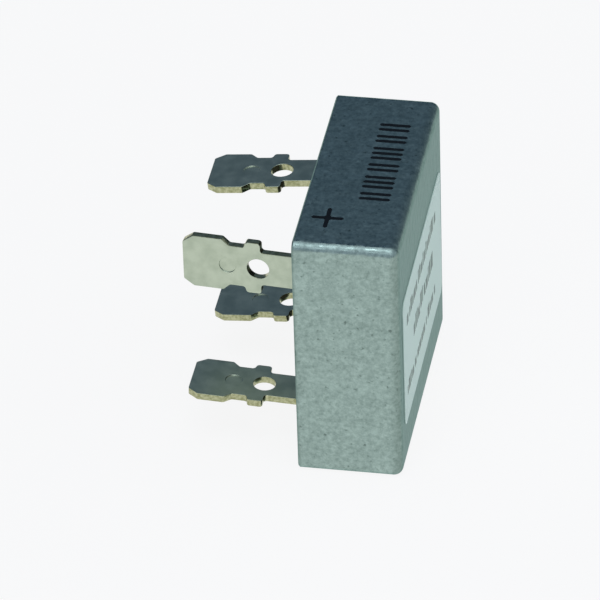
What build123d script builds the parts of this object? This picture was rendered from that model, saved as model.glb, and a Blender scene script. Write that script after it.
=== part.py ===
from build123d import *
from collections import namedtuple
from math import cos, radians, sin
import os

# Bridge rectifier in a square metal cup with four blade terminals.
# Millimetres. The part stands on one side of its cup: +X points out of the cup's base, towards the
# heatsink it is screwed to, the terminals point along -X, and +Z is up.
# The origin is the centre of the mounting hole, on the base's outer face.

# Cup with its mounting boss
case_side = 28.9
case_height = 11.1
case_corner_radius = 1.0
base_edge_radius = 1.0
rim_chamfer = 0.15
wall_thickness = 1.65
floor_thickness = 3.0
cavity_corner_radius = 1.0
boss_wall = 1.5
mounting_hole_diameter = 5.2
boss_chamfer = 0.3

# Ceramic insulator on the cup's floor
insulator_thickness = 0.6
insulator_gap = 0.3

# Copper plates and straps that form a ring of four overlaps round the boss, with a die in each overlap
plate_thickness = 0.8
strap_thickness = 0.8
plate_overhang = 0.4
die_side = 5.0
die_thickness = 0.5

# Epoxy fill, with its surface a little below the rim
fill_drop = 0.45
meniscus_width = 0.6
meniscus_rise = 0.3
meniscus_slope = 0.28

# Blade terminals, with lengths counted from the rim's plane along the blade
terminal_thickness = 0.8
terminal_out_of_arm = 0.25
terminal_short_of_corner = 1.15
blade_width = 6.3
shoulder_depth = 1.15
notch_depth = 0.7
tip_chamfer_depth = 0.8
shoulder_start = 4.35
shoulder_end = 5.95
notch_start = 6.15
notch_end = 7.75
blade_start = 8.5
tip_chamfer_start = 11.3
terminal_length = 12.4
stamped_corner_radius = 0.35
wire_hole_diameter = 2.4
wire_hole_height = 4.65
dimple_diameter = 1.8
dimple_height = 7.95
dimple_depth = 0.1
foot_length = 2.6
foot_bend_radius = 0.5
lean_bend_radius = 3.0

# Sizes that follow from those above
cavity_side = case_side - 2 * wall_thickness
fill_height = case_height - fill_drop
insulator_top = floor_thickness + insulator_thickness
plate_top = insulator_top + plate_thickness
die_top = plate_top + die_thickness
strap_top = die_top + strap_thickness
boss_diameter = mounting_hole_diameter + 2 * boss_wall
ring_middle = (boss_diameter + cavity_side) / 4
arm_width = die_side + 2 * plate_overhang
stem_width = blade_width - 2 * shoulder_depth
notch_width = blade_width - 2 * notch_depth
tip_width = blade_width - 2 * tip_chamfer_depth

# Plan of the part seen from its terminals: local z is the height above the base's outer face.
plan = Plane(origin=(0, 0, 0), x_dir=(0, -1, 0), z_dir=(-1, 0, 0))

# Each terminal faces outwards at an angle in that plan and stands to one side of that direction.
# It strays a little from the even grid and leans in or out by a few degrees, as fitted by hand.
# Its stamped shape starts a little higher or lower on the strip, and two strips are cut off longer.
Terminal = namedtuple("Terminal", "facing side stray_aside stray_out stray_up lean overlength seat")
terminals = {
    "terminal_plus": Terminal(0, -1, -0.3, 0.0, 0.0, 4.8, 0.35, strap_top),
    "terminal_ac_1": Terminal(90, -1, 0.1, 0.0, 0.25, 5.5, 0.0, plate_top),
    "terminal_minus": Terminal(270, 1, 0.0, -0.6, -0.2, -4.1, 0.2, strap_top),
    "terminal_ac_2": Terminal(270, -1, 0.4, 0.4, 0.0, 3.0, 0.0, plate_top),
}


def finish(builder, label):
    """Labels a finished piece and writes its STEP file."""
    builder.part.label = label
    export_step(builder.part, f"parts/{label}.step")
    return builder.part


def corner_plate(aside, up, level, thickness):
    """Flat copper plate with two arms that meet in one corner of the ring round the boss."""
    arm_length = ring_middle + arm_width
    arm_centre = ring_middle / 2
    with BuildPart() as plate:
        with BuildSketch(plan.offset(level)):
            with Locations((aside * arm_centre, up * ring_middle)):
                Rectangle(arm_length, arm_width)
            with Locations((aside * ring_middle, up * arm_centre)):
                Rectangle(arm_width, arm_length)
        extrude(amount=thickness)
    return plate


def blade_outline(blade, overlength):
    """Stem, shoulder, notch and chamfered blade in one face, from below the rim's plane to the tip."""
    with BuildSketch(blade) as outline:
        with BuildLine():
            right_side = Polyline(
                (0, -case_height),
                (stem_width / 2, -case_height),
                (stem_width / 2, shoulder_start),
                (blade_width / 2, shoulder_start),
                (blade_width / 2, shoulder_end),
                (notch_width / 2, notch_start),
                (notch_width / 2, notch_end),
                (blade_width / 2, blade_start),
                (blade_width / 2, tip_chamfer_start + overlength),
                (tip_width / 2, terminal_length + overlength),
                (0, terminal_length + overlength),
            )
            mirror(right_side, about=Plane.YZ)
        make_face()
        fillet(outline.vertices(), stamped_corner_radius)
    return outline.sketch


def blade_terminal(spec):
    """Stamped blade with a wire hole and locating dimples, bent out into a foot at its lower end."""
    facing = radians(spec.facing)
    outwards = plan.x_dir * cos(facing) + plan.y_dir * sin(facing)
    sideways = outwards.cross(plan.z_dir)
    aside = spec.side * (ring_middle - terminal_short_of_corner + spec.stray_aside)
    out = ring_middle + terminal_out_of_arm + spec.stray_out
    stand = Plane(outwards * out + sideways * aside, x_dir=sideways, z_dir=plan.z_dir)
    profile = Plane(stand.origin, x_dir=stand.y_dir, z_dir=stand.x_dir)
    lean = radians(spec.lean)
    face_normal = stand.y_dir * cos(lean) + stand.z_dir * sin(lean)
    rim_point = stand.from_local_coords(Vector(0, 0, case_height))
    rim_plane = Plane(rim_point, x_dir=stand.x_dir, z_dir=face_normal * -1)
    shape_start = rim_plane.from_local_coords(Vector(0, spec.stray_up, 0))
    blade = Plane(shape_start, x_dir=rim_plane.x_dir, z_dir=rim_plane.z_dir)
    foot_middle = spec.seat + terminal_thickness / 2
    foot_end = foot_length - terminal_thickness / 2
    reach = terminal_length + spec.stray_up + spec.overlength + terminal_thickness

    with BuildPart() as terminal:
        with BuildSketch(profile):
            with BuildLine():
                FilletPolyline(
                    (foot_end, foot_middle),
                    (0, foot_middle),
                    (0, case_height),
                    (-reach * sin(lean), case_height + reach * cos(lean)),
                    radius=[foot_bend_radius + terminal_thickness / 2, lean_bend_radius],
                )
            trace(line_width=terminal_thickness)
        extrude(amount=blade_width, both=True)
        extrude(blade_outline(blade, spec.overlength), amount=case_height, both=True, mode=Mode.INTERSECT)
        with BuildSketch(blade):
            with Locations((0, wire_hole_height)):
                Circle(wire_hole_diameter / 2)
        extrude(amount=terminal_thickness, both=True, mode=Mode.SUBTRACT)
        for face in (1, -1):
            dimple_floor = face * (terminal_thickness / 2 - dimple_depth)
            with BuildSketch(blade.offset(dimple_floor)):
                with Locations((0, dimple_height)):
                    Circle(dimple_diameter / 2)
            extrude(amount=face * terminal_thickness, mode=Mode.SUBTRACT)
    return terminal


os.makedirs("parts", exist_ok=True)

# Aluminium cup: one casting with a boss up its middle that carries the mounting hole.
with BuildPart() as case:
    with BuildSketch(plan):
        Rectangle(case_side, case_side)
    extrude(amount=case_height)
    fillet(case.edges().filter_by(Axis.X), case_corner_radius)
    base_face = case.faces().sort_by(Axis.X)[-1]
    fillet(base_face.edges(), base_edge_radius)
    rim_face = case.faces().sort_by(Axis.X)[0]
    chamfer(rim_face.edges(), rim_chamfer)
    with BuildSketch(plan.offset(floor_thickness)):
        RectangleRounded(cavity_side, cavity_side, cavity_corner_radius)
        Circle(boss_diameter / 2, mode=Mode.SUBTRACT)
    extrude(amount=case_height - floor_thickness, mode=Mode.SUBTRACT)
    with BuildSketch(plan):
        Circle(mounting_hole_diameter / 2)
    extrude(amount=case_height, mode=Mode.SUBTRACT)
    boss_top = case.faces().group_by(Axis.X)[0].sort_by(SortBy.AREA)[0]
    chamfer(boss_top.edges().sort_by(SortBy.RADIUS)[0], boss_chamfer)
finish(case, "case")

# Ceramic wafer that keeps the live copper off the cup's floor.
with BuildPart() as insulator:
    with BuildSketch(plan.offset(floor_thickness)):
        wafer_side = cavity_side - 2 * insulator_gap
        RectangleRounded(wafer_side, wafer_side, cavity_corner_radius)
        Circle(boss_diameter / 2 + insulator_gap, mode=Mode.SUBTRACT)
    extrude(amount=insulator_thickness)
finish(insulator, "insulator")
buried = [insulator.part]

# Two plates under the dice take the alternating current, and two straps over them collect plus and minus.
for label, aside, up, level, thickness in (
    ("ac_plate_1", -1, 1, insulator_top, plate_thickness),
    ("ac_plate_2", 1, -1, insulator_top, plate_thickness),
    ("plus_strap", 1, 1, die_top, strap_thickness),
    ("minus_strap", -1, -1, die_top, strap_thickness),
):
    buried.append(finish(corner_plate(aside, up, level, thickness), label))

# One silicon die in each overlap of a plate and a strap.
for label, aside, up in (
    ("die_ac_1_plus", 0, 1),
    ("die_ac_1_minus", -1, 0),
    ("die_ac_2_plus", 1, 0),
    ("die_ac_2_minus", 0, -1),
):
    with BuildPart() as die:
        with BuildSketch(plan.offset(plate_top)):
            with Locations((aside * ring_middle, up * ring_middle)):
                Rectangle(die_side, die_side)
        extrude(amount=die_thickness)
    buried.append(finish(die, label))

# Four terminals, each soldered by its foot to a plate or a strap.
for label, spec in terminals.items():
    buried.append(finish(blade_terminal(spec), label))

# Epoxy poured round all of it, drawn up a little where it wets the wall and the boss.
with BuildPart() as potting:
    with BuildSketch(plan.offset(floor_thickness)):
        RectangleRounded(cavity_side, cavity_side, cavity_corner_radius)
        Circle(boss_diameter / 2, mode=Mode.SUBTRACT)
    extrude(amount=fill_height - floor_thickness)
    with BuildSketch(plan.offset(fill_height)):
        RectangleRounded(cavity_side, cavity_side, cavity_corner_radius)
        pool_side = cavity_side - 2 * meniscus_width
        RectangleRounded(pool_side, pool_side, cavity_corner_radius, mode=Mode.SUBTRACT)
        Circle(boss_diameter / 2 + meniscus_width)
        Circle(boss_diameter / 2, mode=Mode.SUBTRACT)
    extrude(amount=meniscus_rise)
    pool = potting.faces().filter_by(Axis.X).filter_by(
        lambda face: abs(face.center().X + fill_height) < 1e-6
    )
    chamfer(pool.edges(), meniscus_slope)
    for piece in buried:
        add(piece, mode=Mode.SUBTRACT)
finish(potting, "potting")
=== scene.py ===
import math
import random

import bmesh
import bpy
from mathutils import Matrix, Vector, noise


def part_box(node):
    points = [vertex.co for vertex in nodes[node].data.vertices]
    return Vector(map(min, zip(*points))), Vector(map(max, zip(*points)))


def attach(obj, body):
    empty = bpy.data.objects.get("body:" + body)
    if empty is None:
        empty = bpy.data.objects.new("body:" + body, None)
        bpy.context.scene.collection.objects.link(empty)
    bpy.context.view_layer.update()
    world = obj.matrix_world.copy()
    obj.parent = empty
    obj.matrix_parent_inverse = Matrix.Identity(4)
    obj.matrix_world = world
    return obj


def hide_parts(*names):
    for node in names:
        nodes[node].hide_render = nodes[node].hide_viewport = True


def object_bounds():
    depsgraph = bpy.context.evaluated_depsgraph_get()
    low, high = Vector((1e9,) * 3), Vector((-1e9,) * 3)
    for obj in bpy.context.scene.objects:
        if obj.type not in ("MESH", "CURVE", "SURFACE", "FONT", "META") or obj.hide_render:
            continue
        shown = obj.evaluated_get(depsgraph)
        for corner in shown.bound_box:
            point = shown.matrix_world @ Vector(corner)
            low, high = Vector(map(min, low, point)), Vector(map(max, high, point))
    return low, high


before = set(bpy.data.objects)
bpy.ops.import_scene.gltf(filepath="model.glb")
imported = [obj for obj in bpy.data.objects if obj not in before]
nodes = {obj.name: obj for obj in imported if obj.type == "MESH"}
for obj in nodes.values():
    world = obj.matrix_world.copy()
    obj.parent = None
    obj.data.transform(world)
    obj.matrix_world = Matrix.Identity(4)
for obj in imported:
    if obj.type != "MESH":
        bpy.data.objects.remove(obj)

cad_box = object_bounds()

# Case: a square cup of cast aluminium that carries the heat to a heatsink.
# It is die cast in one piece with the boss round its mounting hole, and blasted all over,
# so that its corners are soft and its skin is matt and slightly pitted.
MM = 0.001

# A Mix node's sockets go by number where it mixes colours, because their names repeat.
SHARE, COLOUR_A, COLOUR_B, RESULT = 0, 6, 7, 2

# A range is written as the sockets of the node that maps it. A noise stays mostly within this one.
NOISE_RANGE = {"From Min": 0.3, "From Max": 0.7}


def linear(hex_colour):
    """An sRGB hex colour as the linear RGBA that a socket takes."""
    channels = [int(hex_colour[i:i + 2], 16) / 255 for i in (1, 3, 5)]
    return [c / 12.92 if c <= 0.04045 else ((c + 0.055) / 1.055) ** 2.4 for c in channels] + [1.0]


def add(tree, kind, sockets, **settings):
    """Adds one node; each socket gets a value, or a link from another node's output."""
    node = tree.nodes.new("ShaderNode" + kind)
    for name, value in settings.items():
        setattr(node, name, value)
    for key, source in sockets.items():
        if isinstance(source, bpy.types.NodeSocket):
            tree.links.new(source, node.inputs[key])
        else:
            node.inputs[key].default_value = source
    return node


def new_finish(name):
    """A new material with an empty node tree, and the place in metres that its patterns use."""
    material = bpy.data.materials.new(name)
    material.use_nodes = True
    tree = material.node_tree
    tree.nodes.clear()
    place = add(tree, "TexCoord", {}).outputs["Object"]
    return material, tree, place


def paint(node_name, material):
    """Gives a CAD node its finish."""
    slots = nodes[node_name].data.materials
    slots.clear()
    slots.append(material)


# Blasted cast aluminium gives the eye a matt, cool grey skin: grit marks and shallow dents that break
# up every reflection, a slow cloudiness, painted shade that darkens the skin towards the base and the rim,
# spots burnished by handling that sparkle along the edges, and pits where the casting was open, with
# painted shade in them.
# The grit marks are drawn coarser than the real ones, so that they show.
ALUMINIUM_LIGHT, ALUMINIUM_DARK = "#a8beb7", "#7f938d"
# A darker copy of the skin: painted shade for the base side and the rim edge.
END_SHADE_LIGHT, END_SHADE_DARK = "#94a8a1", "#70847d"
# Painted shade in the pits.
PIT_SHADE_COLOUR = "#6a7c76"
GLANCING_TINT = "#bdd0ce"
GRIT = 0.42 * MM
CLOUD = 1.5 * MM
PIT = 0.6 * MM
BURNISH = 1.2 * MM
DENT = 1.0 * MM
DENT_DEPTH = 0.09 * MM
CLOUD_SHARE = 0.3
TONE_RANGE = {"From Min": 0.4, "From Max": 0.9}
PIT_RANGE = {"From Min": 0.63, "From Max": 0.75}
# Where the painted shade fades in towards the base side and towards the rim edge.
BASE_PAINTED_SHADE = {"From Min": -1.1 * MM, "From Max": -0.3 * MM}
RIM_PAINTED_SHADE = {"From Min": -10.75 * MM, "From Max": -11.0 * MM}
EDGE_RUBBED = {"From Min": 13.2 * MM, "From Max": 13.6 * MM}
BLASTED_ROUGHNESS = {"To Min": 0.3, "To Max": 0.38}
BURNISHED_SPOTS = {"From Min": 0.5, "From Max": 0.62, "To Min": 0.0, "To Max": -0.16}
NOISE_MIDDLE = 0.5
DENTS_FLAT_TO_EDGE = {"To Min": 0.75, "To Max": 1.0}
GRIT_HEIGHT = 0.08
PIT_HEIGHT = -0.04
blasted_aluminium, tree, place = new_finish("blasted_cast_aluminium")
grit = add(tree, "TexNoise", {"Vector": place, "Scale": 1 / GRIT, "Detail": 3.0, "Roughness": 0.65})
cloud = add(tree, "TexNoise", {"Vector": place, "Scale": 1 / CLOUD, "Detail": 2.0})
blend = add(tree, "Math", {
    0: cloud.outputs["Fac"],
    1: CLOUD_SHARE,
    2: grit.outputs["Fac"],
}, operation="MULTIPLY_ADD")
tone = add(tree, "MapRange", {"Value": blend.outputs[0], **TONE_RANGE})
skin = add(tree, "Mix", {
    SHARE: tone.outputs[0],
    COLOUR_A: linear(ALUMINIUM_DARK),
    COLOUR_B: linear(ALUMINIUM_LIGHT),
}, data_type="RGBA")
# Painted shade: the skin's darker copy, used at the base side and the rim edge.
painted_shade_skin = add(tree, "Mix", {
    SHARE: tone.outputs[0],
    COLOUR_A: linear(END_SHADE_DARK),
    COLOUR_B: linear(END_SHADE_LIGHT),
}, data_type="RGBA")
spot = add(tree, "SeparateXYZ", {"Vector": place})
base_shade = add(tree, "MapRange", {"Value": spot.outputs["X"], **BASE_PAINTED_SHADE})
rim_shade = add(tree, "MapRange", {"Value": spot.outputs["X"], **RIM_PAINTED_SHADE})
shaded_ends = add(tree, "Math", {0: base_shade.outputs[0], 1: rim_shade.outputs[0]}, operation="MAXIMUM")
# The skin turns to its painted shade near the base side and the rim edge.
end_shaded_skin = add(tree, "Mix", {
    SHARE: shaded_ends.outputs[0],
    COLOUR_A: skin.outputs[RESULT],
    COLOUR_B: painted_shade_skin.outputs[RESULT],
}, data_type="RGBA")
pit = add(tree, "TexNoise", {"Vector": place, "Scale": 1 / PIT, "Detail": 2.0})
open_pit = add(tree, "MapRange", {"Value": pit.outputs["Fac"], **PIT_RANGE})
# Painted shade: the pits are coloured darker where the bump sinks them.
pit_shaded = add(tree, "Mix", {
    SHARE: open_pit.outputs[0],
    COLOUR_A: end_shaded_skin.outputs[RESULT],
    COLOUR_B: linear(PIT_SHADE_COLOUR),
}, data_type="RGBA")
out_y = add(tree, "Math", {0: spot.outputs["Y"]}, operation="ABSOLUTE")
out_z = add(tree, "Math", {0: spot.outputs["Z"]}, operation="ABSOLUTE")
both_out = add(tree, "Math", {0: out_y.outputs[0], 1: out_z.outputs[0]}, operation="MINIMUM")
edge = add(tree, "MapRange", {"Value": both_out.outputs[0], **EDGE_RUBBED})
rough = add(tree, "MapRange", {"Value": grit.outputs["Fac"], **NOISE_RANGE, **BLASTED_ROUGHNESS})
touch = add(tree, "TexNoise", {"Vector": place, "Scale": 1 / BURNISH, "Detail": 1.0})
burnish = add(tree, "MapRange", {"Value": touch.outputs["Fac"], **BURNISHED_SPOTS})
mellow = add(tree, "Math", {
    0: burnish.outputs[0],
    1: edge.outputs[0],
    2: rough.outputs[0],
}, operation="MULTIPLY_ADD")
dent = add(tree, "TexNoise", {"Vector": place, "Scale": 1 / DENT, "Detail": 0.5})
level = add(tree, "Math", {0: dent.outputs["Fac"], 1: NOISE_MIDDLE}, operation="SUBTRACT")
calm = add(tree, "MapRange", {"Value": edge.outputs[0], **DENTS_FLAT_TO_EDGE})
dented = add(tree, "Math", {0: level.outputs[0], 1: calm.outputs[0]}, operation="MULTIPLY")
gritty = add(tree, "Math", {
    0: grit.outputs["Fac"],
    1: GRIT_HEIGHT,
    2: dented.outputs[0],
}, operation="MULTIPLY_ADD")
sunk = add(tree, "Math", {
    0: open_pit.outputs[0],
    1: PIT_HEIGHT,
    2: gritty.outputs[0],
}, operation="MULTIPLY_ADD")
relief = add(tree, "Bump", {"Height": sunk.outputs[0], "Strength": 1.0, "Distance": DENT_DEPTH})
shader = add(tree, "BsdfPrincipled", {
    "Base Color": pit_shaded.outputs[RESULT],
    "Metallic": 1.0,
    "Roughness": mellow.outputs[0],
    "Specular Tint": linear(GLANCING_TINT),
    "Normal": relief.outputs[0],
})
add(tree, "OutputMaterial", {"Surface": shader.outputs[0]})
paint("case", blasted_aluminium)

# Insulator: a thin square wafer of alumina that keeps the live plates off the earthed case.
# It is punched from green tape and fired, and lies on the cup's floor round the boss.

# Fired alumina gives the eye a matt chalky white with a faint warm cloud, and is never quite flat.
ALUMINA_WHITE, ALUMINA_WARM = "#f1f0ec", "#e9e7df"
ALUMINA_CLOUD = 2.0 * MM
ALUMINA_WAVE = 0.03 * MM
ALUMINA_ROUGHNESS = {"To Min": 0.7, "To Max": 0.8}
fired_alumina, tree, place = new_finish("fired_alumina")
cloud = add(tree, "TexNoise", {"Vector": place, "Scale": 1 / ALUMINA_CLOUD, "Detail": 3.0})
chalk = add(tree, "Mix", {
    SHARE: cloud.outputs["Fac"],
    COLOUR_A: linear(ALUMINA_WARM),
    COLOUR_B: linear(ALUMINA_WHITE),
}, data_type="RGBA")
rough = add(tree, "MapRange", {"Value": cloud.outputs["Fac"], **NOISE_RANGE, **ALUMINA_ROUGHNESS})
wave = add(tree, "Bump", {"Height": cloud.outputs["Fac"], "Strength": 0.5, "Distance": ALUMINA_WAVE})
shader = add(tree, "BsdfPrincipled", {
    "Base Color": chalk.outputs[RESULT],
    "Roughness": rough.outputs[0],
    "IOR": 1.76,
    "Normal": wave.outputs[0],
})
add(tree, "OutputMaterial", {"Surface": shader.outputs[0]})
paint("insulator", fired_alumina)

# Plates and straps: angled strips of copper that carry the current under and over the diodes.
# They are stamped from sheet and soldered, and the potting hides them.

# Bare sheet copper gives the eye a warm orange-pink, with dull patches of oxide and fine streaks
# along the way that it was rolled.
COPPER_CLEAN, COPPER_OXIDE = "#d99a77", "#b0714f"
OXIDE_PATCH = 1.5 * MM
STREAK_WIDE, STREAK_LONG, STREAK_DEEP = 0.15 * MM, 6.0 * MM, 0.01 * MM
COPPER_ROUGHNESS = {"To Min": 0.28, "To Max": 0.42}
sheet_copper, tree, place = new_finish("bare_sheet_copper")
oxide = add(tree, "TexNoise", {"Vector": place, "Scale": 1 / OXIDE_PATCH, "Detail": 4.0})
tarnish = add(tree, "Mix", {
    SHARE: oxide.outputs["Fac"],
    COLOUR_A: linear(COPPER_OXIDE),
    COLOUR_B: linear(COPPER_CLEAN),
}, data_type="RGBA")
rolling = add(tree, "Mapping", {
    "Vector": place,
    "Scale": (1 / STREAK_WIDE, 1 / STREAK_LONG, 1 / STREAK_WIDE),
})
streak = add(tree, "TexNoise", {"Vector": rolling.outputs[0], "Scale": 1.0, "Detail": 2.0})
rough = add(tree, "MapRange", {"Value": streak.outputs["Fac"], **NOISE_RANGE, **COPPER_ROUGHNESS})
rolled = add(tree, "Bump", {"Height": streak.outputs["Fac"], "Strength": 0.5, "Distance": STREAK_DEEP})
shader = add(tree, "BsdfPrincipled", {
    "Base Color": tarnish.outputs[RESULT],
    "Metallic": 1.0,
    "Roughness": rough.outputs[0],
    "Normal": rolled.outputs[0],
})
add(tree, "OutputMaterial", {"Surface": shader.outputs[0]})
for strip in ("ac_plate_1", "ac_plate_2", "plus_strap", "minus_strap"):
    paint(strip, sheet_copper)

# Diodes: four square chips of silicon that let the current through one way only.
# They are sawn from a wafer and soldered between a plate and a strap, and the potting hides them.

# Sawn silicon gives the eye a dark blue-grey half mirror, with a faint cloud where the saw frosted it.
SILICON_LIGHT, SILICON_DARK = "#646a76", "#4d525c"
SAW_FROST = 0.8 * MM
SAW_DEPTH = 0.005 * MM
SILICON_ROUGHNESS = {"To Min": 0.14, "To Max": 0.28}
sawn_silicon, tree, place = new_finish("sawn_silicon")
saw = add(tree, "TexNoise", {"Vector": place, "Scale": 1 / SAW_FROST, "Detail": 2.0})
sheen = add(tree, "Mix", {
    SHARE: saw.outputs["Fac"],
    COLOUR_A: linear(SILICON_DARK),
    COLOUR_B: linear(SILICON_LIGHT),
}, data_type="RGBA")
rough = add(tree, "MapRange", {"Value": saw.outputs["Fac"], **NOISE_RANGE, **SILICON_ROUGHNESS})
frost = add(tree, "Bump", {"Height": saw.outputs["Fac"], "Strength": 0.5, "Distance": SAW_DEPTH})
shader = add(tree, "BsdfPrincipled", {
    "Base Color": sheen.outputs[RESULT],
    "Metallic": 0.6,
    "Roughness": rough.outputs[0],
    "Normal": frost.outputs[0],
})
add(tree, "OutputMaterial", {"Surface": shader.outputs[0]})
for chip in ("die_ac_1_plus", "die_ac_1_minus", "die_ac_2_plus", "die_ac_2_minus"):
    paint(chip, sawn_silicon)

# Terminals: four quarter-inch blades of tinned brass, one of them turned to mark the plus side.
# They are stamped from strip with their notches, wire hole and dimples, which rolls the edges of
# one face over, then bent to a foot and soldered, and each stands a little out of true.
ROLLED_SIDES = {
    "terminal_plus": (0, -1, 0),
    "terminal_ac_1": (0, 0, 1),
    "terminal_minus": (0, 0, -1),
    "terminal_ac_2": (0, 0, -1),
}
EDGE_ROLL = 0.06 * MM
EDGE_BURR = 0.03 * MM
DIMPLE_ROLL = 0.04 * MM
TIN_SLOT, CUT_SLOT = 0, 1

# A face that leans less than this to the rolled side is a cut wall, and a wall no deeper than this is
# a dimple's. Edges further in than this lie in the potting and stay sharp.
CUT_WALL = 0.7
DIMPLE_DEEPEST = 0.3 * MM
POTTED_FROM = -10.3 * MM
WELD = 0.001 * MM
ONE_PLANE = math.radians(0.5)
ROUNDING_STEPS = 4
scene = bpy.context.scene


def welded_copy(node_name, name):
    """A new piece from a CAD node, and its welded shape with each flat face in one."""
    piece = bpy.data.objects.new(name, nodes[node_name].data.copy())
    shape = bmesh.new()
    shape.from_mesh(piece.data)
    bmesh.ops.remove_doubles(shape, verts=shape.verts[:], dist=WELD)
    bmesh.ops.dissolve_limit(shape, angle_limit=ONE_PLANE, verts=shape.verts[:], edges=shape.edges[:])
    return piece, shape


def round_off(piece, shape, name, radius):
    """Gives a piece its shape, and rounds each edge by the share of the radius that its weight says."""
    shape.to_mesh(piece.data)
    shape.free()
    rounding = piece.modifiers.new(name, "BEVEL")
    rounding.width = radius
    rounding.segments = ROUNDING_STEPS
    rounding.limit_method = "WEIGHT"
    rounding.use_clamp_overlap = False
    scene.collection.objects.link(piece)
    return rounding


def stamped(node_name, rolled_side):
    """A copy of a blade with the edges of one side rolled over, and its cut walls set apart."""
    piece, strip = welded_copy(node_name, node_name + "_stamped")
    weight = strip.edges.layers.float.new("bevel_weight_edge")
    for face in strip.faces:
        face.smooth = True
        face.material_index = CUT_SLOT if abs(face.normal.dot(rolled_side)) < CUT_WALL else TIN_SLOT
    dimple_walls = set()
    for edge in strip.edges:
        flat, wall = sorted(edge.link_faces, key=lambda face: face.material_index)
        if flat.material_index == wall.material_index or max(v.co.x for v in edge.verts) > POTTED_FROM:
            continue
        depths = [v.co.dot(rolled_side) for v in wall.verts]
        if max(depths) - min(depths) < DIMPLE_DEEPEST:
            edge[weight] = DIMPLE_ROLL / EDGE_ROLL
            dimple_walls.add(wall)
        elif flat.normal.dot(rolled_side) > 0:
            edge[weight] = 1.0
        else:
            edge[weight] = EDGE_BURR / EDGE_ROLL
    for wall in dimple_walls:
        wall.material_index = TIN_SLOT
    round_off(piece, strip, "edge_roll", EDGE_ROLL)
    piece.modifiers.new("even_shading", "WEIGHTED_NORMAL")
    return piece


# Tinned brass gives the eye a pale, slightly olive metal: the tin lies in soft clouds over
# the rolled strip, and the brass warms it from below.
TIN_LIGHT, TIN_DARK = "#bec9b5", "#adb9a5"
TIN_CLOUD = 1.3 * MM
TIN_ROUGHNESS = {"To Min": 0.28, "To Max": 0.38}
NOISE_CORE = {"From Min": 0.35, "From Max": 0.65}
tinned_brass, tree, place = new_finish("tinned_brass")
cloud = add(tree, "TexNoise", {"Vector": place, "Scale": 1 / TIN_CLOUD, "Detail": 3.0})
tone = add(tree, "MapRange", {"Value": cloud.outputs["Fac"], **NOISE_CORE})
tin = add(tree, "Mix", {
    SHARE: tone.outputs[0],
    COLOUR_A: linear(TIN_DARK),
    COLOUR_B: linear(TIN_LIGHT),
}, data_type="RGBA")
rough = add(tree, "MapRange", {"Value": cloud.outputs["Fac"], **NOISE_RANGE, **TIN_ROUGHNESS})
shader = add(tree, "BsdfPrincipled", {
    "Base Color": tin.outputs[RESULT],
    "Metallic": 1.0,
    "Roughness": rough.outputs[0],
})
add(tree, "OutputMaterial", {"Surface": shader.outputs[0]})

# Sheared brass gives the eye the strip's own olive yellow on the cut edges: smoother than the tin,
# with a torn grain that glints here and there and is drawn coarser than the real one, so that it shows.
BRASS_LIGHT, BRASS_DARK = "#b9bb98", "#93966f"
TORN_GRAIN = 0.35 * MM
TORN_DEPTH = 0.1 * MM
sheared_brass, tree, place = new_finish("sheared_brass")
grain = add(tree, "TexNoise", {"Vector": place, "Scale": 1 / TORN_GRAIN, "Detail": 2.0})
tone = add(tree, "MapRange", {"Value": grain.outputs["Fac"], **NOISE_CORE})
brass = add(tree, "Mix", {
    SHARE: tone.outputs[0],
    COLOUR_A: linear(BRASS_DARK),
    COLOUR_B: linear(BRASS_LIGHT),
}, data_type="RGBA")
torn = add(tree, "Bump", {"Height": grain.outputs["Fac"], "Strength": 0.25, "Distance": TORN_DEPTH})
shader = add(tree, "BsdfPrincipled", {
    "Base Color": brass.outputs[RESULT],
    "Metallic": 1.0,
    "Roughness": 0.16,
    "Normal": torn.outputs[0],
})
add(tree, "OutputMaterial", {"Surface": shader.outputs[0]})

for blade, rolled_side in ROLLED_SIDES.items():
    paint(blade, tinned_brass)
    strip_blade = stamped(blade, Vector(rolled_side))
    strip_blade.data.materials.append(sheared_brass)
    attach(strip_blade, "root")
    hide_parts(blade)

# Potting: black epoxy poured into the cup over everything, and cured.
# It draws up a little where it wets the cup's wall and the boss.
MENISCUS_SOFT = 0.14 * MM

# A face that leans further out of the cup than this is open skin, and a sharper bend in it is softened.
OPEN_SKIN = -0.3
MENISCUS_BEND = math.radians(20)

# Poured epoxy gives the eye a satin black skin that is gently wavy, with a few fine specks.
EPOXY_BLACK, EPOXY_SPECK = "#14171a", "#2b3033"
EPOXY_WAVE = 3.5 * MM
EPOXY_WAVE_DEPTH = 0.15 * MM
SPECK = 0.3 * MM
SPECK_RANGE = {"From Min": 0.62, "From Max": 0.75}
EPOXY_ROUGHNESS = {"To Min": 0.28, "To Max": 0.42}
poured_epoxy, tree, place = new_finish("poured_black_epoxy")
wave = add(tree, "TexNoise", {"Vector": place, "Scale": 1 / EPOXY_WAVE, "Detail": 2.0})
speck = add(tree, "TexNoise", {"Vector": place, "Scale": 1 / SPECK, "Detail": 2.0})
dust = add(tree, "MapRange", {"Value": speck.outputs["Fac"], **SPECK_RANGE})
dusty = add(tree, "Mix", {
    SHARE: dust.outputs[0],
    COLOUR_A: linear(EPOXY_BLACK),
    COLOUR_B: linear(EPOXY_SPECK),
}, data_type="RGBA")
rough = add(tree, "MapRange", {"Value": wave.outputs["Fac"], **NOISE_RANGE, **EPOXY_ROUGHNESS})
swell = add(tree, "Bump", {"Height": wave.outputs["Fac"], "Strength": 0.5, "Distance": EPOXY_WAVE_DEPTH})
shader = add(tree, "BsdfPrincipled", {
    "Base Color": dusty.outputs[RESULT],
    "Roughness": rough.outputs[0],
    "IOR": 1.55,
    "Normal": swell.outputs[0],
})
add(tree, "OutputMaterial", {"Surface": shader.outputs[0]})
paint("potting", poured_epoxy)

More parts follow.
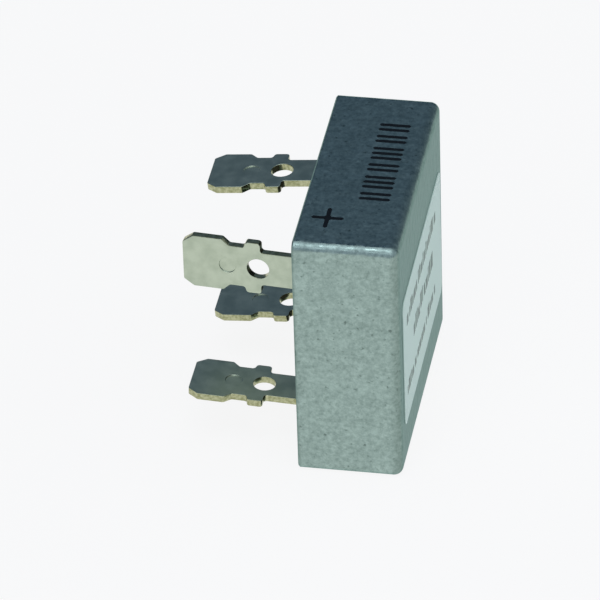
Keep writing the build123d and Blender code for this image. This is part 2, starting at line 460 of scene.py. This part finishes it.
fill, pour = welded_copy("potting", "potting_poured")
weight = pour.edges.layers.float.new("bevel_weight_edge")
for face in pour.faces:
    face.smooth = face.normal.x < OPEN_SKIN
for edge in pour.edges:
    one, other = edge.link_faces
    open_skin = one.smooth and other.smooth
    edge[weight] = 1.0 if open_skin and one.normal.angle(other.normal) > MENISCUS_BEND else 0.0
meniscus = round_off(fill, pour, "meniscus", MENISCUS_SOFT)
meniscus.harden_normals = True
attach(fill, "root")
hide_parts("potting")

# Printed marks: a plus sign beside the plus terminal, and a plain row of bars.
# They are pad printed on the case's side in black ink, which lies as a thin film on the blasted skin.
PLUS_CENTRE = Vector((-8.18, -9.13)) * MM
PLUS_ALONG, PLUS_ACROSS = 1.68 * MM, 1.80 * MM
BAR_NEAR, BAR_FAR = -5.6 * MM, -2.3 * MM
BAR_PLACES = (-5.1, -4.2, -2.9, -2.0, -1.1, 0.3, 1.2, 2.5, 3.4, 4.3, 5.7, 6.6, 7.9, 8.8)
HALF_STROKE = 0.23 * MM
INK_FILM = 0.012 * MM
INK_ROUND = 0.12 * MM
INK_WANDER = 0.03 * MM
INK_BLOT = 0.5 * MM
INK_SEED = 7
INK_ROUND_STEPS = 3
INK_CUTS = 6
side_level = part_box("case")[1].z


def raise_film(film, lift):
    """Gives a flat film its thickness: walls round its rim, and a lifted copy of each face."""
    flats = film.faces[:]
    rim = [edge for edge in film.edges if edge.is_boundary]
    lifted = {corner: film.verts.new(corner.co + lift) for corner in film.verts[:]}
    for edge in rim:
        near, far = edge.verts
        film.faces.new((near, far, lifted[far], lifted[near]))
    for flat in flats:
        film.faces.new([lifted[corner] for corner in flat.verts])
    bmesh.ops.recalc_face_normals(film, faces=film.faces[:])


def new_piece(name, shape, material):
    """A new object with a shape and one material."""
    mesh = bpy.data.meshes.new(name)
    shape.to_mesh(mesh)
    shape.free()
    mesh.materials.append(material)
    piece = bpy.data.objects.new(name, mesh)
    scene.collection.objects.link(piece)
    return piece


def ink_film(outlines):
    """One film of ink, from flat outlines whose edges wander a little, as ink does on a rough skin."""
    film = bmesh.new()
    for outline in outlines:
        face = film.faces.new([film.verts.new((x, y, side_level)) for x, y in outline])
        bmesh.ops.bevel(film, geom=face.verts[:], offset=INK_ROUND, segments=INK_ROUND_STEPS,
                        affect="VERTICES")
    bmesh.ops.subdivide_edges(film, edges=film.edges[:], cuts=INK_CUTS)
    noise.seed_set(INK_SEED)
    for corner in film.verts:
        wander = noise.noise_vector(corner.co / INK_BLOT) * INK_WANDER
        corner.co += Vector((wander.x, wander.y, 0))
    raise_film(film, Vector((0, 0, INK_FILM)))
    return film


# Pad printing ink gives the eye a dull near-black with a cool cast, a little thin where grit stands
# through it. The grit is drawn coarser than the real one, so that it shows.
INK_BLACK, INK_THIN = "#060e14", "#1b272d"
INK_GRAIN = 0.25 * MM
INK_GRAIN_DEPTH = 0.02 * MM
INK_THIN_RANGE = {"From Min": 0.55, "From Max": 0.8}
INK_ROUGHNESS = {"To Min": 0.65, "To Max": 0.75}
printing_ink, tree, place = new_finish("pad_printing_ink")
grain = add(tree, "TexNoise", {"Vector": place, "Scale": 1 / INK_GRAIN, "Detail": 2.0})
thin = add(tree, "MapRange", {"Value": grain.outputs["Fac"], **INK_THIN_RANGE})
ink = add(tree, "Mix", {
    SHARE: thin.outputs[0],
    COLOUR_A: linear(INK_BLACK),
    COLOUR_B: linear(INK_THIN),
}, data_type="RGBA")
rough = add(tree, "MapRange", {"Value": grain.outputs["Fac"], **NOISE_RANGE, **INK_ROUGHNESS})
bumpy = add(tree, "Bump", {"Height": grain.outputs["Fac"], "Strength": 0.5, "Distance": INK_GRAIN_DEPTH})
shader = add(tree, "BsdfPrincipled", {
    "Base Color": ink.outputs[RESULT],
    "Roughness": rough.outputs[0],
    "Specular IOR Level": 0.18,
    "Normal": bumpy.outputs[0],
})
add(tree, "OutputMaterial", {"Surface": shader.outputs[0]})

plus_outline = [
    (-PLUS_ALONG, -HALF_STROKE), (-HALF_STROKE, -HALF_STROKE), (-HALF_STROKE, -PLUS_ACROSS),
    (HALF_STROKE, -PLUS_ACROSS), (HALF_STROKE, -HALF_STROKE), (PLUS_ALONG, -HALF_STROKE),
    (PLUS_ALONG, HALF_STROKE), (HALF_STROKE, HALF_STROKE), (HALF_STROKE, PLUS_ACROSS),
    (-HALF_STROKE, PLUS_ACROSS), (-HALF_STROKE, HALF_STROKE), (-PLUS_ALONG, HALF_STROKE),
]
plus_outline = [(PLUS_CENTRE.x + x, PLUS_CENTRE.y + y) for x, y in plus_outline]
bar_outlines = []
for bar in BAR_PLACES:
    low, high = bar * MM - HALF_STROKE, bar * MM + HALF_STROKE
    bar_outlines.append([(BAR_NEAR, low), (BAR_FAR, low), (BAR_FAR, high), (BAR_NEAR, high)])
for name, outlines in (("plus_mark", [plus_outline]), ("bar_marks", bar_outlines)):
    mark = new_piece(name, ink_film(outlines), printing_ink)
    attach(mark, "root")

# Label: a small rounded slip of coated paper, stuck on the base by hand a little askew.
# It covers the mounting hole, where it gives slightly, and is peeled off before mounting.
LABEL_LENGTH, LABEL_HEIGHT = 25.0 * MM, 15.8 * MM
LABEL_CORNER = 1.0 * MM
LABEL_FRONT, LABEL_BACK = 0.09 * MM, 0.002 * MM
LABEL_CENTRE = Vector((0, 0.2, -1.3)) * MM
LABEL_SKEW = math.radians(1.0)
LABEL_COLUMNS, LABEL_ROWS = 72, 40
CORNER_STEP = 15
HOLE_RADIUS = 2.6 * MM
HOLE_GIVE = 0.06 * MM
HOLE_SOFT = 0.8 * MM
skew_along, skew_up = math.cos(LABEL_SKEW), math.sin(LABEL_SKEW)


def on_label(along, up, lift):
    """A point of the label: along its length and up from its middle, lifted off the base."""
    y = LABEL_CENTRE.y + along * skew_along - up * skew_up
    z = LABEL_CENTRE.z + along * skew_up + up * skew_along
    inside = min(max((HOLE_RADIUS - math.hypot(y, z)) / HOLE_SOFT, 0), 1)
    return Vector((lift - HOLE_GIVE * inside * inside * (3 - 2 * inside), y, z))


def paper_side(slip, lift):
    """One side of the label as a grid of faces, narrower in its end rows, and the ring of its rim."""
    straight = LABEL_HEIGHT / 2 - LABEL_CORNER
    turns = [math.radians(turn) for turn in range(90, -1, -CORNER_STEP)]
    corner_rows = [straight + LABEL_CORNER * math.sin(turn) for turn in turns]
    middle_rows = [straight - 2 * straight * step / LABEL_ROWS for step in range(1, LABEL_ROWS)]
    grid = []
    for up in corner_rows + middle_rows + [-row for row in reversed(corner_rows)]:
        past = max(abs(up) - straight, 0)
        reach = LABEL_LENGTH / 2 - LABEL_CORNER + math.sqrt(max(LABEL_CORNER ** 2 - past ** 2, 0))
        grid.append([slip.verts.new(on_label(reach * (2 * column / LABEL_COLUMNS - 1), up, lift))
                     for column in range(LABEL_COLUMNS + 1)])
    for upper, lower in zip(grid, grid[1:]):
        for c in range(LABEL_COLUMNS):
            slip.faces.new((upper[c], upper[c + 1], lower[c + 1], lower[c]))
    right_end = [row[-1] for row in grid[1:]]
    left_end = [row[0] for row in grid[-2:0:-1]]
    return grid[0] + right_end + grid[-1][-2::-1] + left_end


# Coated paper gives the eye a clean pale grey-white with the faintest fibre cloud and a dull sheen.
PAPER_LIGHT, PAPER_DARK = "#e0f4e4", "#d6ecdb"
FIBRE = 0.35 * MM
FIBRE_DEPTH = 0.008 * MM
PAPER_ROUGHNESS = {"To Min": 0.5, "To Max": 0.6}
coated_paper, tree, place = new_finish("coated_paper")
fibre = add(tree, "TexNoise", {"Vector": place, "Scale": 1 / FIBRE, "Detail": 4.0})
paper = add(tree, "Mix", {
    SHARE: fibre.outputs["Fac"],
    COLOUR_A: linear(PAPER_DARK),
    COLOUR_B: linear(PAPER_LIGHT),
}, data_type="RGBA")
rough = add(tree, "MapRange", {"Value": fibre.outputs["Fac"], **NOISE_RANGE, **PAPER_ROUGHNESS})
felted = add(tree, "Bump", {"Height": fibre.outputs["Fac"], "Strength": 0.5, "Distance": FIBRE_DEPTH})
shader = add(tree, "BsdfPrincipled", {
    "Base Color": paper.outputs[RESULT],
    "Roughness": rough.outputs[0],
    "Normal": felted.outputs[0],
})
add(tree, "OutputMaterial", {"Surface": shader.outputs[0]})

slip = bmesh.new()
front_rim = paper_side(slip, LABEL_FRONT)
back_rim = paper_side(slip, LABEL_BACK)
for here in range(len(front_rim)):
    after = (here + 1) % len(front_rim)
    slip.faces.new((front_rim[here], front_rim[after], back_rim[after], back_rim[here]))
bmesh.ops.recalc_face_normals(slip, faces=slip.faces[:])
label = new_piece("label", slip, coated_paper)
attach(label, "root")

# Label print: three rows of plain grey blocks in uneven groups.
# A thermal printer burns them into the coat of the paper, where they lie as a thin film.
# Each row is its height on the label, its start and end along it, and its blocks' height, in mm.
PRINT_ROWS = ((4.6, -10.3, 9.4, 1.7), (0.4, -6.2, 6.8, 1.9), (-4.2, -10.7, 7.5, 1.5))
BLOCK_LENGTHS = (0.45, 0.7, 0.95, 1.2)
BLOCK_RISES = (0.7, 0.7, 1.0)
BLOCK_GAPS = (0.28, 0.28, 0.28, 0.7)
PRINT_FILM = 0.008 * MM
PRINT_STEP = 0.2 * MM
PRINT_SEED = 7

# Thermal print gives the eye a soft grey, paler where the head pressed less.
PRINT_DARK, PRINT_PALE = "#445a4e", "#86a090"
PRESS_PATCH = 0.6 * MM
PRINT_ROUGHNESS = {"To Min": 0.45, "To Max": 0.55}
thermal_print, tree, place = new_finish("thermal_print")
press = add(tree, "TexNoise", {"Vector": place, "Scale": 1 / PRESS_PATCH, "Detail": 2.0})
grey = add(tree, "Mix", {
    SHARE: press.outputs["Fac"],
    COLOUR_A: linear(PRINT_DARK),
    COLOUR_B: linear(PRINT_PALE),
}, data_type="RGBA")
rough = add(tree, "MapRange", {"Value": press.outputs["Fac"], **NOISE_RANGE, **PRINT_ROUGHNESS})
shader = add(tree, "BsdfPrincipled", {
    "Base Color": grey.outputs[RESULT],
    "Roughness": rough.outputs[0],
})
add(tree, "OutputMaterial", {"Surface": shader.outputs[0]})

draw = random.Random(PRINT_SEED)
print_film = bmesh.new()
for up, start, end, tall in PRINT_ROWS:
    here = start
    while here < end:
        length = draw.choice(BLOCK_LENGTHS)
        steps = max(round(length * MM / PRINT_STEP), 1)
        bottom = up - tall / 2
        top = bottom + tall * draw.choice(BLOCK_RISES)
        pairs = []
        for step in range(steps + 1):
            along = (here + length * step / steps) * MM
            points = [on_label(along, side * MM, LABEL_FRONT) for side in (top, bottom)]
            pairs.append([print_film.verts.new(point) for point in points])
        for left, right in zip(pairs, pairs[1:]):
            print_film.faces.new((left[0], left[1], right[1], right[0]))
        here += length + draw.choice(BLOCK_GAPS)
raise_film(print_film, Vector((PRINT_FILM, 0, 0)))
label_print = new_piece("label_print", print_film, thermal_print)
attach(label_print, "root")

# Floor: a pale seamless sheet of paper, which takes the soft shadow of the part.
# It is lit by the lamps, and looks near white to a camera and in a mirror.
FLOOR_RADIUS = 2.0
FLOOR_SIDES = 96
FLOOR_COLOUR, FLOOR_GLOW = "#f0f0f0", "#ffffff"
FLOOR_GLOW_SHARE = 0.88
pale_sheet, tree, _ = new_finish("pale_seamless_sheet")
lit = add(tree, "BsdfPrincipled", {"Base Color": linear(FLOOR_COLOUR), "Roughness": 0.9})
glow = add(tree, "Emission", {"Color": linear(FLOOR_GLOW), "Strength": 1.0})
ray = add(tree, "LightPath", {})
seen = add(tree, "Math", {
    0: ray.outputs["Is Camera Ray"],
    1: ray.outputs["Is Glossy Ray"],
}, operation="MAXIMUM")
seen_through = add(tree, "Math", {
    0: seen.outputs[0],
    1: ray.outputs["Is Transmission Ray"],
}, operation="MAXIMUM")
share = add(tree, "Math", {0: seen_through.outputs[0], 1: FLOOR_GLOW_SHARE}, operation="MULTIPLY")
mixed = add(tree, "MixShader", {0: share.outputs[0], 1: lit.outputs[0], 2: glow.outputs[0]})
add(tree, "OutputMaterial", {"Surface": mixed.outputs[0]})
sheet = bmesh.new()
bmesh.ops.create_circle(sheet, cap_ends=True, segments=FLOOR_SIDES, radius=FLOOR_RADIUS)
floor = new_piece("floor", sheet, pale_sheet)
floor.location.z = cad_box[0].z

# Light: one large softbox overhead, brighter in its middle, dim ones in front, to the right and
# behind, and a dim cool room.
DAYLIGHT = "#f5f8ff"
ROOM_COLOUR = "#58677c"


def bearing(azimuth, elevation):
    """The direction from the part to a lamp or the camera, in degrees to the right of its front and up."""
    turn, rise = math.radians(azimuth), math.radians(elevation)
    return Vector((math.sin(turn) * math.cos(rise), -math.cos(turn) * math.cos(rise), math.sin(rise)))


def softbox(name, azimuth, elevation, distance, width, height, watts):
    """A rectangular lamp that faces the part, with its sizes in metres."""
    lamp = bpy.data.lights.new(name, "AREA")
    lamp.color = linear(DAYLIGHT)[:3]
    lamp.shape = "RECTANGLE"
    lamp.size = width
    lamp.size_y = height
    lamp.energy = watts
    holder = bpy.data.objects.new(name, lamp)
    out = bearing(azimuth, elevation)
    holder.location = out * distance
    holder.rotation_euler = out.to_track_quat("Z", "Y").to_euler()
    scene.collection.objects.link(holder)


softbox("softbox_above", azimuth=0, elevation=77, distance=0.6, width=0.75, height=0.88, watts=1.8)
softbox("softbox_above_core", azimuth=5, elevation=74, distance=0.58, width=0.2, height=0.2, watts=0.26)
softbox("softbox_front", azimuth=10, elevation=24, distance=0.9, width=1.3, height=0.8, watts=1.5)
softbox("softbox_right", azimuth=80, elevation=20, distance=0.6, width=0.6, height=0.5, watts=0.6)
softbox("softbox_back", azimuth=120, elevation=34, distance=0.7, width=0.5, height=0.72, watts=0.46)
room = bpy.data.worlds.new("dim_cool_room")
room.use_nodes = True
room.node_tree.nodes["Background"].inputs["Color"].default_value = linear(ROOM_COLOUR)
scene.world = room
scene.view_settings.view_transform = "Standard"

# Camera: a long lens, above and a little to the right of the case's front side.
# It aims at the middle of the picture and is rolled a little, as if held by hand.
CAMERA_AIM = Vector((-12.31, -4.13, 0.18)) * MM
CAMERA_AZIMUTH, CAMERA_ELEVATION = 10.97, 35.212
CAMERA_ROLL = math.radians(-1.861)
CAMERA_DISTANCE = 610.92 * MM
SENSOR_WIDTH, FOCAL_LENGTH = 36.0, 348.17
NEAREST = 10 * MM
lens = bpy.data.cameras.new("camera")
lens.sensor_width = SENSOR_WIDTH
lens.lens = FOCAL_LENGTH
lens.clip_start = NEAREST
camera = bpy.data.objects.new("camera", lens)
back = bearing(CAMERA_AZIMUTH, CAMERA_ELEVATION)
stand = Matrix.Translation(CAMERA_AIM + back * CAMERA_DISTANCE)
upright = back.to_track_quat("Z", "Y").to_matrix().to_4x4()
camera.matrix_world = stand @ upright @ Matrix.Rotation(CAMERA_ROLL, 4, "Z")
scene.collection.objects.link(camera)
scene.camera = camera
